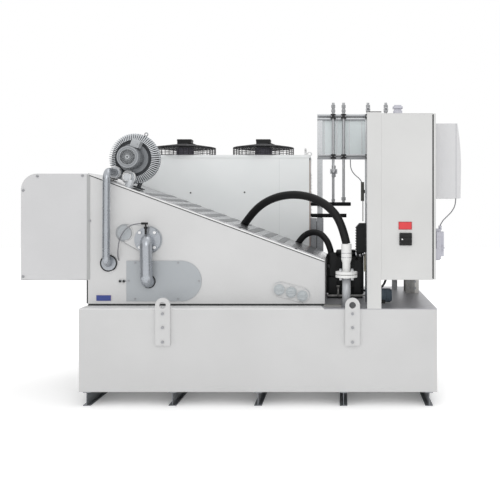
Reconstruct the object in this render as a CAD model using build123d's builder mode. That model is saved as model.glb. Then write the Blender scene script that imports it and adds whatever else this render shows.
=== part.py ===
"""Coolant filtration unit: a belt filter on a tank, with its blower, chiller,
control cabinet, transfer pump and pipework.  Millimetres, +Z up, +Y to the rear."""
from build123d import *
from math import cos, pi, radians, sin, tan
import os

os.makedirs("parts", exist_ok=True)

# ---- driving dimensions -------------------------------------------------
tank_length, tank_depth = 2580, 1500
skid_height, skid_width, skid_web, skid_flange = 100, 55, 5, 6
skid_pitch = (tank_length / 2 - 57) / 2
tank_top = 700
sheet = 5
seam = 0.5
half_length, half_depth = tank_length / 2, tank_depth / 2

housing_left, housing_right = -1282, 477
housing_front, housing_back = -584, 253
housing_base = 714
slope_angle = 20.2
slope_top = 1681
hood_left, hood_base, hood_radius = -1780, 893, 120

chiller_left, chiller_right = -1204, 325
chiller_front, chiller_back = 265, 735
chiller_top_height = 1883
fan_x, fan_y, fan_ring_radius = (-793, -93), 500, 271

cabinet_left, cabinet_right = 889, 1262
cabinet_front, cabinet_back = -750, 450
cabinet_base, cabinet_height = 908, 1200
cabinet_roof = cabinet_base + cabinet_height
door_gap, door_thickness = 4, 15

blower_x, blower_z, blower_back = -992, 1806, -290
suction_radius, blower_pipe_radius = 44.5, 27
lug_hole_radius, lug_thickness = 24, 18
hose_diameter = 62
frame_y = 496


def slope_z(x):
    """Height of the housing's sloping edge at x."""
    return slope_top - tan(radians(slope_angle)) * (x - housing_left)


def save(piece, label):
    """Label a finished piece and write its STEP file."""
    piece.part.label = label
    export_step(piece.part, f"parts/{label}.step")


def block(x, y, z):
    """A box between two limits on each axis, added to the open part."""
    with Locations(((x[0] + x[1]) / 2, (y[0] + y[1]) / 2, (z[0] + z[1]) / 2)):
        Box(x[1] - x[0], y[1] - y[0], z[1] - z[0])


def pipe(points, bends, radius):
    """A round pipe along straight runs joined by arcs, added to the open part."""
    with BuildLine() as path:
        FilletPolyline(*points, radius=bends)
    route = path.wire()
    with BuildSketch(Plane(origin=route @ 0, z_dir=route % 0)) as section:
        Circle(radius)
    sweep(section.sketch, path=route)
    return route.length


def hose_bends(points):
    """Each corner's radius: 0.45 of its shorter run over the tangent of half the turn."""
    bends = []
    for before, corner, after in zip(points, points[1:], points[2:]):
        first, second = Vector(*corner) - Vector(*before), Vector(*after) - Vector(*corner)
        turn = first.get_angle(second)
        bends.append(0.45 * min(first.length, second.length) / tan(radians(turn / 2)))
    return bends


def free_hose(label, points, diameter):
    """A cord's tube along its route, with its radii, length and volume printed."""
    bends = hose_bends(points)
    with BuildPart() as hose:
        length = pipe(points, bends, diameter / 2)
    section = pi * diameter ** 2 / 4
    print(label, "radii/diameter", [round(b / diameter, 1) for b in bends],
          "length", round(length), "volume ratio", round(hose.part.volume / section / length, 4))
    save(hose, label)


# the housing's sloping roof: local x runs down the slope, local z stands off it
slope = radians(slope_angle)
slope_length = (housing_right - housing_left) / cos(slope)
housing_width = housing_back - housing_front
housing_middle = (housing_front + housing_back) / 2
roof_plane = Plane(origin=(housing_left, housing_middle, slope_top),
                   x_dir=(cos(slope), 0, -sin(slope)), z_dir=(sin(slope), 0, cos(slope)))


def blower_plane(y):
    """A plane across the blower's tilted axis, its normal to the front."""
    return Plane(origin=(blower_x, y, blower_z), x_dir=(cos(slope), 0, -sin(slope)),
                 z_dir=(0, -1, 0))


# ---- skids and tank -----------------------------------------------------
with BuildPart() as skid_beams:
    with BuildSketch(Plane.XZ.offset(-half_depth)):
        for step in range(-2, 3):
            with Locations((step * skid_pitch, skid_height / 2)):
                Rectangle(skid_web, skid_height)
            for edge in (skid_flange / 2, skid_height - skid_flange / 2):
                with Locations((step * skid_pitch, edge)):
                    Rectangle(skid_width, skid_flange)
    extrude(amount=tank_depth)
save(skid_beams, "skid_beams")

wall_low, wall_high = skid_height + sheet + seam, tank_top - sheet - seam
with BuildPart() as tank_shell:
    block((-half_length, half_length), (-half_depth, half_depth),
          (skid_height, skid_height + sheet))
    for side in (-1, 1):
        face = side * (half_depth - sheet / 2)
        block((-half_length, half_length), (face - sheet / 2, face + sheet / 2),
              (wall_low, wall_high))
        end = side * (half_length - sheet / 2)
        block((end - sheet / 2, end + sheet / 2),
              (-half_depth + sheet + seam, half_depth - sheet - seam), (wall_low, wall_high))
save(tank_shell, "tank_shell")

deck_left, deck_corner = 450, 476
drain_left, drain_right, drain_front, drain_back = -1180, 380, -520, 200
top_z = (tank_top - sheet, tank_top)
with BuildPart() as tank_top_plate:
    with BuildSketch(Plane.XY.offset(tank_top - sheet)):
        with BuildLine():
            Polyline((-half_length, -half_depth), (deck_corner, -half_depth),
                     (deck_left, housing_front), (deck_left, drain_front),
                     (-half_length, drain_front), close=True)
        make_face()
    extrude(amount=sheet)
    block((-half_length, drain_left), (drain_front + seam, drain_back - seam), top_z)
    block((drain_right, deck_left), (drain_front + seam, drain_back - seam), top_z)
    block((-half_length, deck_left), (drain_back, half_depth), top_z)
save(tank_top_plate, "tank_top_plate")

with BuildPart() as service_deck:
    with BuildSketch(Plane.XY.offset(tank_top - sheet)):
        with BuildLine():
            Polyline((deck_corner + 1, -half_depth), (half_length, -half_depth),
                     (half_length, half_depth), (deck_left + 1, half_depth),
                     (deck_left + 1, housing_front), close=True)
        make_face()
    extrude(amount=sheet)
save(service_deck, "service_deck")

lug_x, lug_width, lug_low, lug_eye = (-683, 681), 106, 437, 727
screw_heights = (463, 567, 666)
with BuildPart() as lifting_lugs:
    for face in (half_depth, -half_depth - lug_thickness):
        with BuildSketch(Plane.XZ.offset(face)):
            for x in lug_x:
                with Locations((x, (lug_low + lug_eye) / 2)):
                    Rectangle(lug_width, lug_eye - lug_low)
                with Locations((x, lug_eye)):
                    Circle(lug_width / 2)
            with Locations(*[(x, lug_eye) for x in lug_x]):
                Circle(lug_hole_radius, mode=Mode.SUBTRACT)
        extrude(amount=lug_thickness)
save(lifting_lugs, "lifting_lugs")

# ---- filter housing -----------------------------------------------------
seal_width, seal_z = 15, (tank_top, housing_base)
seal_x = (housing_left + 1, housing_right - 1)
seal_y = (housing_front + 1, housing_back - 1)
with BuildPart() as housing_seal:
    block(seal_x, (seal_y[0], seal_y[0] + seal_width), seal_z)
    block(seal_x, (seal_y[1] - seal_width, seal_y[1]), seal_z)
    between = (seal_y[0] + seal_width + seam, seal_y[1] - seal_width - seam)
    block((seal_x[0], seal_x[0] + seal_width), between, seal_z)
    block((seal_x[1] - seal_width, seal_x[1]), between, seal_z)
save(housing_seal, "housing_seal")

blower_inlet = (-1127, 1016)
drive_hole = (-829, 881)
wall = 4
with BuildPart() as filter_housing:
    for face in (-housing_front - wall, -housing_back):
        with BuildSketch(Plane.XZ.offset(face)):
            with BuildLine():
                Polyline((housing_left, housing_base), (housing_right, housing_base),
                         (housing_right, slope_z(housing_right)), (housing_left, slope_top),
                         close=True)
            make_face()
            if face > 0:
                with Locations(blower_inlet):
                    Circle(65, mode=Mode.SUBTRACT)
                with Locations(drive_hole):
                    Circle(47.5, mode=Mode.SUBTRACT)
        extrude(amount=wall)
    inner = (housing_front + wall + seam, housing_back - wall - seam)
    block((housing_left, housing_left + wall), inner, (housing_base, hood_base - 8))
    block((housing_right - wall, housing_right), inner,
          (housing_base, slope_z(housing_right) - 1))
save(filter_housing, "filter_housing")

roof_thickness = 4
lid_thickness, lid_start = 6, 440
lid_runs = ((lid_start, 1190), (1196, 1640), (1646, slope_length - 20))
with BuildPart() as slope_cover:
    with BuildSketch(roof_plane.offset(seam)):
        with Locations((slope_length / 2, 0)):
            Rectangle(slope_length, housing_width)
    extrude(amount=roof_thickness)
    with BuildSketch(roof_plane.offset(seam * 2 + roof_thickness)):
        for start, end in lid_runs:
            with Locations(((start + end) / 2, 0)):
                RectangleRounded(end - start, housing_width - 60, 12)
    extrude(amount=lid_thickness)
save(slope_cover, "slope_cover")

trim_depth, trim_reach, trim_left = 3, 5.5, housing_left + 12
with BuildPart() as housing_trim:
    for face in (-housing_front + seam, -housing_back - trim_depth - seam):
        with BuildSketch(Plane.XZ.offset(face)):
            with BuildLine():
                Polyline((trim_left, slope_z(trim_left) - trim_reach),
                         (housing_right, slope_z(housing_right) - trim_reach),
                         (housing_right, slope_z(housing_right) + trim_reach),
                         (trim_left, slope_z(trim_left) + trim_reach), close=True)
            make_face()
        extrude(amount=trim_depth)
save(housing_trim, "housing_trim")

# the discharge hood: open below, where the filter cake drops out
with BuildPart() as discharge_hood:
    for face in (-housing_front - wall, -housing_back):
        with BuildSketch(Plane.XZ.offset(face)) as side:
            with Locations(((hood_left + housing_left - 1) / 2, (hood_base + slope_top) / 2)):
                Rectangle(housing_left - 1 - hood_left, slope_top - hood_base)
            corner = side.vertices().sort_by(Axis.X)[:2].sort_by(Axis.Z)[-1]
            fillet(corner, hood_radius)
        extrude(amount=wall)
    block((hood_left, hood_left + wall), inner, (hood_base, slope_top - hood_radius - seam))
    block((hood_left + hood_radius + seam, housing_left - 1), inner,
          (slope_top - wall, slope_top))
    with BuildSketch(Plane.XZ.offset(-inner[0])):
        with BuildLine():
            centre = (hood_left + hood_radius, slope_top - hood_radius)
            outer = CenterArc(centre, hood_radius, 90, 90)
            inside = CenterArc(centre, hood_radius - wall, 90, 90)
            Line(outer @ 0, inside @ 0)
            Line(outer @ 1, inside @ 1)
        make_face()
    extrude(amount=-(inner[1] - inner[0]))
save(discharge_hood, "discharge_hood")

# screws: hood face, drive cover, suction flange and pipe flange
cover_face = housing_front - 6
hood_screws = ((-1658, 1661), (-1322, 1665), (-1763, 1556), (-1763, 916), (-1268, 1331))
cover_screws = ((-978, 884), (-611, 1018), (-611, 750), (-456, 884), (-930, 750), (-930, 1018))
with BuildPart() as screws:
    for face in (half_depth + lug_thickness, -half_depth - lug_thickness - 8):
        with BuildSketch(Plane.XZ.offset(face)):
            for z in screw_heights:
                with Locations(*[(x, z) for x in lug_x]):
                    RegularPolygon(11, 6)
        extrude(amount=8)
    with BuildSketch(Plane.XZ.offset(-housing_front + seam)):
        with Locations(*hood_screws):
            Circle(9)
    extrude(amount=5)
    with BuildSketch(Plane.XZ.offset(-cover_face + seam)):
        with Locations(*cover_screws):
            Circle(7)
    extrude(amount=4)
save(screws, "screws")

# cover plates on the front wall: drive cover, port plate, suction base plate
suction_flange = (-834, 1189)
small_cover = (-1007, 1240)
port_centres = ((140, 820), (229, 801), (312, 774))
with BuildPart() as cover_plates:
    with BuildSketch(Plane.XZ.offset(-housing_front + seam)):
        with Locations(((-995 - 587) / 2, 883.5)):
            Rectangle(408, 299)
        with Locations((-587, 883.5)):
            Circle(149.5)
        with Locations(drive_hole):
            Circle(47.5, mode=Mode.SUBTRACT)
    extrude(amount=5)
    with BuildSketch(Plane.XZ.offset(-housing_front + seam)):
        with Locations(port_centres[1]):
            SlotCenterToCenter(178, 104, rotation=-15)
    extrude(amount=4)
    with BuildSketch(Plane.XZ.offset(-housing_front + seam)):
        with Locations(suction_flange):
            Circle(104)
        with Locations(small_cover):
            Circle(66)
        with BuildLine():
            Polyline((-1013, 1174), (-866, 1089), (-818, 1290), (-988, 1303), close=True)
        make_face()
    extrude(amount=7)
    with BuildSketch(Plane.XZ.offset(-housing_front + seam + 7)):
        with Locations(small_cover):
            Circle(54)
    extrude(amount=9)
save(cover_plates, "cover_plates")

socket_centres = ((-1040, 883), (-1012, 883))
with BuildPart() as port_caps:
    with BuildSketch(Plane.XZ.offset(-housing_front + 2 * seam + 4)):
        with Locations(*port_centres):
            Circle(40)
    extrude(amount=14)
    with BuildSketch(Plane.XZ.offset(-housing_front + 2 * seam + 18)):
        with Locations(*port_centres):
            Circle(33)
    extrude(amount=4)
    with BuildSketch(Plane.XZ.offset(-housing_front + seam)):
        with Locations(*socket_centres):
            Circle(10)
    extrude(amount=14)
save(port_caps, "port_caps")

flange_y = -housing_front + seam + 7 + seam
with BuildPart() as suction_pipe:
    with BuildSketch(Plane.XZ.offset(flange_y)):
        with Locations(suction_flange):
            Circle(97)
    extrude(amount=16)
    with BuildSketch(Plane.XZ.offset(flange_y + 16)):
        with Locations(suction_flange):
            with PolarLocations(77.5, 4, start_angle=45):
                RegularPolygon(13, 6)
    extrude(amount=10)
    elbow_y, elbow_bend = -652, 50
    pipe([(suction_flange[0], -flange_y, suction_flange[1]),
          (suction_flange[0], elbow_y, suction_flange[1]),
          (drive_hole[0], elbow_y, drive_hole[1]),
          (drive_hole[0], housing_front + 10, drive_hole[1])],
         [elbow_bend, elbow_bend], suction_radius)
save(suction_pipe, "suction_pipe")

sensor_x, sensor_y = suction_flange[0] - 4, elbow_y + 12
sensor_z = suction_flange[1] + suction_radius
sensor_head = sensor_z + 78
with BuildPart() as vacuum_sensor:
    with Locations((sensor_x, sensor_y, sensor_z + 20)):
        Cylinder(8, 44)
        with Locations((0, 0, 26)):
            Cylinder(13, 16)
        with Locations((0, 0, 45)):
            Cylinder(6, 28)
    with Locations((sensor_x - 8, sensor_y, sensor_head)):
        Box(46, 20, 16)
save(vacuum_sensor, "vacuum_sensor")

port_axis = (blower_x - 132, blower_z - 109)
with BuildPart() as blower_pipe:
    pipe([(blower_inlet[0], housing_front + 16, blower_inlet[1]),
          (blower_inlet[0], -648, blower_inlet[1]),
          (port_axis[0], -648, port_axis[1]),
          (port_axis[0], -441, port_axis[1])], [50, 62], blower_pipe_radius)
    with BuildSketch(Plane.XZ.offset(-housing_front + seam)):
        with Locations(blower_inlet):
            Circle(62)
    extrude(amount=8)
save(blower_pipe, "blower_pipe")

with BuildPart() as label_plates:
    block((-1218, -1111), (housing_front - 3, housing_front - seam), (737, 777))
    block((1012, 1108), (cabinet_front - 3, cabinet_front - seam), (1270, 1326))
save(label_plates, "label_plates")

# ---- filter belt and its shafts, inside the housing and hood ------------
drive_axis, tail_axis, drum_radius, belt_thickness = (-1410, 1300), (300, 830), 80, 5
belt_y = (-530, 200)
belt_run = Vector(*tail_axis) - Vector(*drive_axis)
belt_turn = Vector(1, 0).get_angle(belt_run)
with BuildPart() as filter_belt:
    with BuildSketch(Plane.XZ.offset(-belt_y[1])):
        with Locations(((drive_axis[0] + tail_axis[0]) / 2, (drive_axis[1] + tail_axis[1]) / 2)):
            SlotCenterToCenter(belt_run.length, 2 * (drum_radius + 2 + belt_thickness),
                               rotation=-belt_turn)
            SlotCenterToCenter(belt_run.length, 2 * (drum_radius + 2), rotation=-belt_turn,
                               mode=Mode.SUBTRACT)
    extrude(amount=belt_y[1] - belt_y[0])
save(filter_belt, "filter_belt")

for label, axis in (("drive_shaft", drive_axis), ("tail_shaft", tail_axis)):
    with BuildPart() as drum_shaft:
        with BuildSketch(Plane.XZ.offset(-belt_y[1] + 10)):
            with Locations(axis):
                Circle(drum_radius)
        extrude(amount=belt_y[1] - belt_y[0] - 20)
        with BuildSketch(Plane.XZ.offset(-housing_back + wall + 4)):
            with Locations(axis):
                Circle(20)
        extrude(amount=housing_width - 2 * wall - 8)
    save(drum_shaft, label)

with BuildPart() as shaft_bearings:
    for face in (-housing_back + wall + seam, -housing_front - wall - seam - 25):
        with BuildSketch(Plane.XZ.offset(face)):
            with Locations(drive_axis, tail_axis):
                RectangleRounded(110, 110, 20)
                Circle(20.05, mode=Mode.SUBTRACT)
        extrude(amount=25)
save(shaft_bearings, "shaft_bearings")

# ---- side channel blower, square to the slope ---------------------------
casing_depth, rotor_radius, shaft_radius = 130, 110, 12
casing_front = blower_back - casing_depth
foot_drop = (blower_z - slope_z(blower_x)) * cos(slope)
port_places = ((-86, -148), (27, -146))
with BuildPart() as blower_casing:
    with BuildSketch(blower_plane(blower_back)):
        Circle(172)
    extrude(amount=70)
    with BuildSketch(blower_plane(blower_back)):
        Circle(145)
    extrude(amount=casing_depth)
    with BuildSketch(blower_plane(blower_back - 50)):
        with PolarLocations(162, 60):
            Rectangle(56, 5)
    extrude(amount=casing_depth - 45)
    with BuildSketch(blower_plane(blower_back)):
        with Locations(*port_places):
            Circle(46)
    extrude(amount=casing_depth + 20)
    with BuildSketch(blower_plane(blower_back - 60)):
        Circle(rotor_radius + 5)
    extrude(amount=casing_depth, mode=Mode.SUBTRACT)
    with BuildSketch(blower_plane(blower_back - 10)):
        for x in (95, -130):
            with Locations((x, -foot_drop + 14)):
                Rectangle(80, 8)
            with Locations((x, -foot_drop + 32)):
                Rectangle(10, 40)
    extrude(amount=90)
save(blower_casing, "blower_casing")

with BuildPart() as blower_rotor:
    with BuildSketch(blower_plane(blower_back - 65)):
        Circle(rotor_radius)
    extrude(amount=45)
    with BuildSketch(blower_plane(blower_back - 65)):
        Circle(shaft_radius)
    extrude(amount=150)
save(blower_rotor, "blower_rotor")

motor_front = -575
with BuildPart() as blower_motor:
    with BuildSketch(blower_plane(casing_front + 8)):
        Circle(rotor_radius + 4)
    extrude(amount=8)
    with BuildSketch(blower_plane(casing_front)):
        Circle(76)
        with PolarLocations(78, 36):
            Rectangle(8, 3)
    extrude(amount=100)
    with BuildSketch(blower_plane(casing_front - 100)):
        Circle(81)
    extrude(amount=casing_front - 100 - motor_front)
    with BuildSketch(blower_plane(casing_front + 9)):
        Circle(shaft_radius + 0.05)
    extrude(amount=120, mode=Mode.SUBTRACT)
save(blower_motor, "blower_motor")

with BuildPart() as blower_terminal_box:
    with BuildSketch(blower_plane(casing_front - 12)):
        with Locations((0, 115)):
            RectangleRounded(66, 60, 8)
    extrude(amount=80)
save(blower_terminal_box, "blower_terminal_box")

with BuildPart() as blower_silencer:
    with BuildSketch(blower_plane(casing_front - 21)):
        with Locations(port_places[1]):
            Circle(52)
    extrude(amount=16)
    with BuildSketch(blower_plane(casing_front - 37)):
        with Locations(port_places[1]):
            Circle(34)
    extrude(amount=46)
    with BuildSketch(roof_plane.offset(seam * 2 + roof_thickness)):
        with Locations((285, casing_front - 60 - housing_middle)):
            Circle(28)
    extrude(amount=56)
    with BuildSketch(blower_plane(casing_front - 21)):
        with Locations(port_places[0]):
            RegularPolygon(52, 6)
            Circle(blower_pipe_radius + seam, mode=Mode.SUBTRACT)
    extrude(amount=16)
save(blower_silencer, "blower_silencer")

# ---- chiller ------------------------------------------------------------
panel = 3
chiller_roof = chiller_top_height - 25
with BuildPart() as chiller_panels:
    block((chiller_left, chiller_right), (chiller_front, chiller_back),
          (tank_top + seam, tank_top + 40))
    upright = (tank_top + 40 + seam, chiller_roof - seam)
    block((chiller_left, chiller_right), (chiller_front, chiller_front + panel), upright)
    block((chiller_left, chiller_right), (chiller_back - panel, chiller_back), upright)
    depth = (chiller_front + panel + seam, chiller_back - panel - seam)
    block((chiller_left, chiller_left + panel), depth, upright)
    block((chiller_right - panel, chiller_right), depth, upright)
save(chiller_panels, "chiller_panels")

opening_radius = 225
with BuildPart() as chiller_top:
    with BuildSketch(Plane.XY.offset(chiller_roof)):
        with Locations(((chiller_left + chiller_right) / 2, (chiller_front + chiller_back) / 2)):
            Rectangle(chiller_right - chiller_left + 8, chiller_back - chiller_front + 8)
        with Locations(*[(x, fan_y) for x in fan_x]):
            Circle(opening_radius, mode=Mode.SUBTRACT)
    extrude(amount=25)
save(chiller_top, "chiller_top")

with BuildPart() as cooling_circuit:
    for x in fan_x:
        block((x - 300, x + 300), (fan_y - 150, fan_y + 150), (1480, 1560))
    with Locations((-1000, fan_y, tank_top + 42 + 150)):
        Cylinder(95, 300)
    with Locations((-600, fan_y, tank_top + 42 + 200)):
        Cylinder(130, 400)
save(cooling_circuit, "cooling_circuit")

guard_base, guard_wall, bar = chiller_top_height + seam, 78, 5
with BuildPart() as fan_guards:
    for x in fan_x:
        with BuildSketch(Plane.XY.offset(guard_base + guard_wall)):
            with Locations((x, fan_y)):
                for radius in (fan_ring_radius, 215, 160, 105):
                    Circle(radius)
                    Circle(radius - bar, mode=Mode.SUBTRACT)
                with PolarLocations((fan_ring_radius + 60) / 2, 12):
                    Rectangle(fan_ring_radius - 64, bar)
                Circle(66)
        extrude(amount=bar)
        with BuildSketch(Plane.XY.offset(guard_base)):
            with Locations((x, fan_y)):
                Circle(fan_ring_radius)
                Circle(fan_ring_radius - bar, mode=Mode.SUBTRACT)
        extrude(amount=bar)
        with BuildSketch(Plane.XY.offset(guard_base + 1)):
            with Locations((x, fan_y)):
                with PolarLocations(fan_ring_radius - bar / 2, 12):
                    Rectangle(bar, bar)
        extrude(amount=guard_wall)
save(fan_guards, "fan_guards")

motor_top = guard_base + guard_wall - seam
with BuildPart() as fan_motors:
    for x in fan_x:
        with Locations((x, fan_y, motor_top - 45)):
            Cylinder(70, 90)
        block((x - 62, x + 62), (fan_y - 45, fan_y + 45),
              (motor_top + bar + 1, 2037))
save(fan_motors, "fan_motors")

hub_top, hub_height, blade_drop = motor_top - 90 - 2, 92, 56
blade_count, blade_pitch = 5, 62
for label, x in zip(("fan_rotor_left", "fan_rotor_right"), fan_x):
    with BuildPart() as fan_rotor:
        with Locations((x, fan_y, hub_top - hub_height / 2)):
            Cylinder(72, hub_height)
        for blade in range(blade_count):
            turn = 2 * pi * blade / blade_count
            with BuildSketch(Plane(origin=(x, fan_y, hub_top - blade_drop),
                                   z_dir=(cos(turn), sin(turn), 0)).offset(60)):
                Rectangle(88, 5, rotation=blade_pitch)
            extrude(amount=150)
    save(fan_rotor, label)

# ---- control cabinet ----------------------------------------------------
column_left = 787
column_gap = seam
with BuildPart() as cabinet_columns:
    for front, left in ((cabinet_front, column_left), (cabinet_back - 100, 832)):
        block((left, cabinet_left - column_gap), (front, front + 100), (tank_top, 2115))
        block((left, cabinet_left - column_gap), (front, front + 100), (2115 + seam, 2121))
save(cabinet_columns, "cabinet_columns")

skin = 3
with BuildPart() as cabinet_body:
    inside_z = (cabinet_base + skin + seam, cabinet_roof - skin - seam)
    inside_y = (cabinet_front + skin + seam, cabinet_back - skin - seam)
    block((cabinet_left, cabinet_right), (cabinet_front, cabinet_back),
          (cabinet_base, cabinet_base + skin))
    block((cabinet_left, cabinet_right), (cabinet_front, cabinet_back),
          (cabinet_roof - skin, cabinet_roof))
    block((cabinet_left, cabinet_right), (cabinet_front, cabinet_front + skin), inside_z)
    block((cabinet_left, cabinet_right), (cabinet_back - skin, cabinet_back), inside_z)
    block((cabinet_left, cabinet_left + skin), inside_y, inside_z)
save(cabinet_body, "cabinet_body")

with BuildPart() as mounting_plate:
    block((cabinet_left + 22, cabinet_left + 25), (cabinet_front + 50, cabinet_back - 50),
          (cabinet_base + 50, cabinet_roof - 50))
    for row, (low, high) in enumerate(((1800, 1930), (1520, 1640), (1240, 1340))):
        for column in range(5):
            start = cabinet_front + 110 + column * 200
            block((cabinet_left + 25, cabinet_left + 120 - row * 15), (start, start + 150),
                  (low, high))
save(mounting_plate, "mounting_plate")

door_x = (cabinet_right + door_gap, cabinet_right + door_gap + door_thickness)
door_z = (cabinet_base + 2, cabinet_roof - 2)
door_meet = -150
near_door_y, far_door_y = (cabinet_front, door_meet - 1), (door_meet + 1, cabinet_back)
for label, door_y in (("near_door", near_door_y), ("far_door", far_door_y)):
    with BuildPart() as door:
        block(door_x, door_y, door_z)
    save(door, label)

handle_y, handle_z = door_meet - 40, 1500
with BuildPart() as near_handle:
    with BuildSketch(Plane.YZ.offset(door_x[1] + 0.4)):
        with Locations((handle_y, handle_z)):
            Circle(16)
    extrude(amount=14)
    with BuildSketch(Plane.YZ.offset(door_x[1] + 8)):
        with Locations((handle_y, handle_z - 45)):
            RectangleRounded(24, 130, 11)
    extrude(amount=16)
save(near_handle, "near_handle")

switch_x, switch_z = 1063, 1201
with BuildPart() as main_switch_base:
    with BuildSketch(Plane.XZ.offset(-cabinet_front + seam)):
        with Locations((switch_x, switch_z)):
            RectangleRounded(90, 90, 6)
    extrude(amount=10)
save(main_switch_base, "main_switch_base")

with BuildPart() as switch_knob:
    with BuildSketch(Plane.XZ.offset(-cabinet_front + 11)):
        with Locations((switch_x, switch_z)):
            Circle(32)
    extrude(amount=8)
    with BuildSketch(Plane.XZ.offset(-cabinet_front + 19)):
        with Locations((switch_x, switch_z)):
            RectangleRounded(66, 20, 8)
    extrude(amount=16)
save(switch_knob, "switch_knob")

unit_y, unit_z = (-590, -310), (1497, 2053)
with BuildPart() as cooling_unit:
    block((door_x[1] + seam, 1452), unit_y, unit_z)
    with BuildSketch(Plane.XZ.offset(-unit_y[1])):
        with BuildLine():
            ThreePointArc((1462, unit_z[1]), (1485, 1850), (1489, 1700))
            Polyline((1489, 1700), (1485, unit_z[0]), (1453, unit_z[0]), (1453, unit_z[1]),
                     (1462, unit_z[1]))
        make_face()
    extrude(amount=unit_y[1] - unit_y[0])
save(cooling_unit, "cooling_unit")

box_y = (-625, -500)
gland = (1337, -562)
with BuildPart() as junction_box:
    block((door_x[1] + seam, 1366), box_y, (1040, 1276))
    with Locations((*gland, 1276 + 9)):
        Cylinder(11, 18)
save(junction_box, "junction_box")

leg_y = (200, 380)
with BuildPart() as cabinet_legs:
    for front in leg_y:
        block((1196, 1261), (front, front + 50), (tank_top, cabinet_base - seam))
        block((1148, 1195), (front + 10, front + 16), (tank_top, cabinet_base - seam))
save(cabinet_legs, "cabinet_legs")

# ---- rear frame, risers and chilled pipes -------------------------------
post, rail_depth, rail_height = 47, 41, 46
frame_back = frame_y + rail_depth
rails = ((1861, 1907), (2219, 2265))
frame_left, frame_right = 386, 1100
post_left = (frame_left, 812, frame_right - post)
strut_wall, strut_slot, strut_lip = 3, 22, 8
with BuildPart() as strut_frame:
    for left in post_left:
        block((left, left + post), (frame_y, frame_back), (tank_top, rails[0][0] - seam))
        block((left, left + post), (frame_y, frame_back), (rails[0][1] + seam, rails[1][0] - seam))
    with BuildSketch(Plane.YZ.offset(frame_left)):
        for low, high in rails:
            middle = (low + high) / 2
            with Locations((frame_y + rail_depth / 2, middle)):
                Rectangle(rail_depth, rail_height)
                Rectangle(rail_depth - 2 * strut_wall, rail_height - 2 * strut_wall,
                          mode=Mode.SUBTRACT)
            with Locations((frame_y, middle)):
                Rectangle(3 * strut_wall, strut_slot, mode=Mode.SUBTRACT)
            for side in (-1, 1):
                with Locations((frame_y + strut_lip / 2,
                                middle + side * (strut_slot + strut_wall) / 2)):
                    Rectangle(strut_lip, strut_wall)
    extrude(amount=frame_right - frame_left)
    for left in (330, 389):
        block((left, left + 57), (290, 331), (tank_top, 1340))
save(strut_frame, "strut_frame")

with BuildPart() as frame_panel:
    block((frame_left + post + seam, 812 - seam), (frame_y + 12, frame_y + 16),
          (rails[0][1] + 1, rails[1][0] - 1))
save(frame_panel, "frame_panel")

riser_y, riser_radius, riser_top = frame_y - 22, 12, 2362
riser_x = (529, 621, 838, 996)
chilled_z, insulation_radius = (1462, 1360), 17
with BuildPart() as riser_pipes:
    for index, x in enumerate(riser_x):
        foot = chilled_z[0] + insulation_radius if index < 2 else 1700
        with Locations((x, riser_y, (foot + riser_top) / 2)):
            Cylinder(riser_radius, riser_top - foot)
        for height in (2290, 2330):
            with Locations((x, riser_y, height)):
                Cylinder(18, 22)
    with Locations((riser_x[0] + 4, riser_y, 1752)):
        Cylinder(17, 90)
        Box(64, 30, 44)
    with Locations((riser_x[1], riser_y, 1510)):
        Cylinder(18, 28)
save(riser_pipes, "riser_pipes")

with BuildPart() as pipe_clamps:
    for low, high in rails:
        for x in riser_x:
            with BuildSketch(Plane.XY.offset(low + 3)):
                with Locations((x, (riser_y - 20 + frame_y - seam) / 2)):
                    RectangleRounded(44, frame_y - seam - riser_y + 20, 6)
                with Locations((x, riser_y)):
                    Circle(riser_radius + seam, mode=Mode.SUBTRACT)
            extrude(amount=40)
save(pipe_clamps, "pipe_clamps")

with BuildPart() as insulated_pipes:
    for height, end in zip(chilled_z, (686, 647)):
        with BuildSketch(Plane.YZ.offset(chiller_right + 1)):
            with Locations((riser_y, height)):
                Circle(insulation_radius)
        extrude(amount=end - chiller_right - 1)
    fillet(insulated_pipes.faces().filter_by(Axis.X).group_by(Axis.X)[-1].edges(), 8)
save(insulated_pipes, "insulated_pipes")

# ---- transfer pump, its inverter and the pipework on the deck -----------
pump_x, pump_y, pump_radius, pump_top = 639, -20, 81, 1086
inverter_x, inverter_z = (722, 802), (1066, 1303)
motor_end, motor_y, motor_z, motor_radius = 975, -420, 758, 52
with BuildPart() as transfer_pump:
    block((490, 770), (-130, 110), (tank_top, tank_top + 16))
    with Locations((pump_x, pump_y, (tank_top + 16 + pump_top) / 2)):
        Cylinder(pump_radius, pump_top - tank_top - 16)
    fillet(transfer_pump.edges().group_by(Axis.Z)[-1], 28)
    block((500, 600), (-60, 60), (tank_top + 16, 862))
    block((pump_x + 50, 760), (-70, 30), (tank_top + 16, 1000))
    with BuildSketch(Plane.YZ.offset(motor_end - 190)):
        with Locations((motor_y, motor_z)):
            Circle(motor_radius)
    extrude(amount=190)
    block((motor_end - 160, motor_end - 40), (motor_y - 45, motor_y + 45),
          (tank_top, motor_z - 30))
save(transfer_pump, "transfer_pump")

with BuildPart() as inverter_box:
    with BuildSketch(Plane.XZ.offset(-40)):
        with BuildLine():
            Polyline((inverter_x[0], inverter_z[0]), (inverter_x[1], inverter_z[0]),
                     (inverter_x[1], inverter_z[1]), (inverter_x[0] + 26, inverter_z[1]),
                     (inverter_x[0], inverter_z[1] - 30), close=True)
        make_face()
    extrude(amount=140)
    block((735, 765), (-60, 0), (1000 + seam, inverter_z[0] + 1))
save(inverter_box, "inverter_box")

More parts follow.
